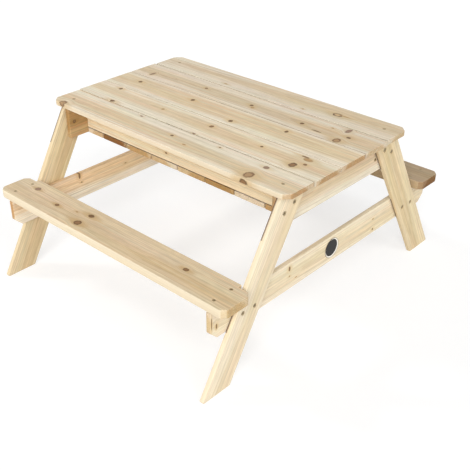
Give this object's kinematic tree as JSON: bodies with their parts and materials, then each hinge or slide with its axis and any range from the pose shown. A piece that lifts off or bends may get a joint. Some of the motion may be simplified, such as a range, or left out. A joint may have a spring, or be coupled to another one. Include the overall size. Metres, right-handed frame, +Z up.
{
  "type": "picnic table with sandbox",
  "caption": "Low wooden picnic table with slanted legs and attached benches. The middle boards of its top lift off as a lid over a shallow sandbox.",
  "frame": {"origin": "on the floor under the middle of the table", "axes": "+X along the planks to the right end, which carries the badge, +Y to the rear bench, +Z up"},
  "size_m": [0.947, 1.105, 0.511],
  "materials": {
    "board_wood": "planed, unfinished pine",
    "leg_wood": "planed, unfinished pine",
    "box_wood": "planed, unfinished pine",
    "screw_steel": "zinc plated",
    "badge_enamel": "matt"
  },
  "bodies": {
    "table": {"top_board_front": "board_wood", "top_board_rear": "board_wood", "top_board_front_screw_left": "screw_steel", "top_board_front_screw_right": "screw_steel", "top_board_rear_screw_left": "screw_steel", "top_board_rear_screw_right": "screw_steel", "sandbox_side_front": "box_wood", "sandbox_side_rear": "box_wood", "sandbox_side_front_screw_left": "screw_steel", "sandbox_side_front_screw_right": "screw_steel", "sandbox_side_rear_screw_left": "screw_steel", "sandbox_side_rear_screw_right": "screw_steel", "floor_slat_1": "box_wood", "floor_slat_2": "box_wood", "floor_slat_3": "box_wood", "floor_slat_4": "box_wood", "floor_slat_5": "box_wood", "floor_slat_6": "box_wood", "floor_slat_7": "box_wood", "floor_slat_8": "box_wood", "end_board_left": "box_wood", "end_board_right": "box_wood", "lower_rail_left": "leg_wood", "lower_rail_right": "leg_wood", "leg_front_left": "leg_wood", "leg_front_right": "leg_wood", "leg_rear_left": "leg_wood", "leg_rear_right": "leg_wood", "leg_front_left_screw_1": "screw_steel", "leg_front_left_screw_2": "screw_steel", "leg_front_left_screw_3": "screw_steel", "leg_front_left_screw_4": "screw_steel", "leg_front_right_screw_1": "screw_steel", "leg_front_right_screw_2": "screw_steel", "leg_front_right_screw_3": "screw_steel", "leg_front_right_screw_4": "screw_steel", "leg_rear_left_screw_1": "screw_steel", "leg_rear_left_screw_2": "screw_steel", "leg_rear_left_screw_3": "screw_steel", "leg_rear_left_screw_4": "screw_steel", "leg_rear_right_screw_1": "screw_steel", "leg_rear_right_screw_2": "screw_steel", "leg_rear_right_screw_3": "screw_steel", "leg_rear_right_screw_4": "screw_steel", "bench_front": "board_wood", "bench_rear": "board_wood", "bench_front_screw_1": "screw_steel", "bench_front_screw_2": "screw_steel", "bench_front_screw_3": "screw_steel", "bench_front_screw_4": "screw_steel", "bench_rear_screw_1": "screw_steel", "bench_rear_screw_2": "screw_steel", "bench_rear_screw_3": "screw_steel", "bench_rear_screw_4": "screw_steel", "badge": "badge_enamel"},
    "lid": {"lid_board_front": "board_wood", "lid_board_middle": "board_wood", "lid_board_rear": "board_wood", "lid_batten_left": "board_wood", "lid_batten_right": "board_wood"}
  },
  "joints": [
    {"name": "lid_lift", "type": "slide", "parent": "table", "child": "lid", "axis": [0, 0, 1], "range_m": [0, 0.25]}
  ]
}
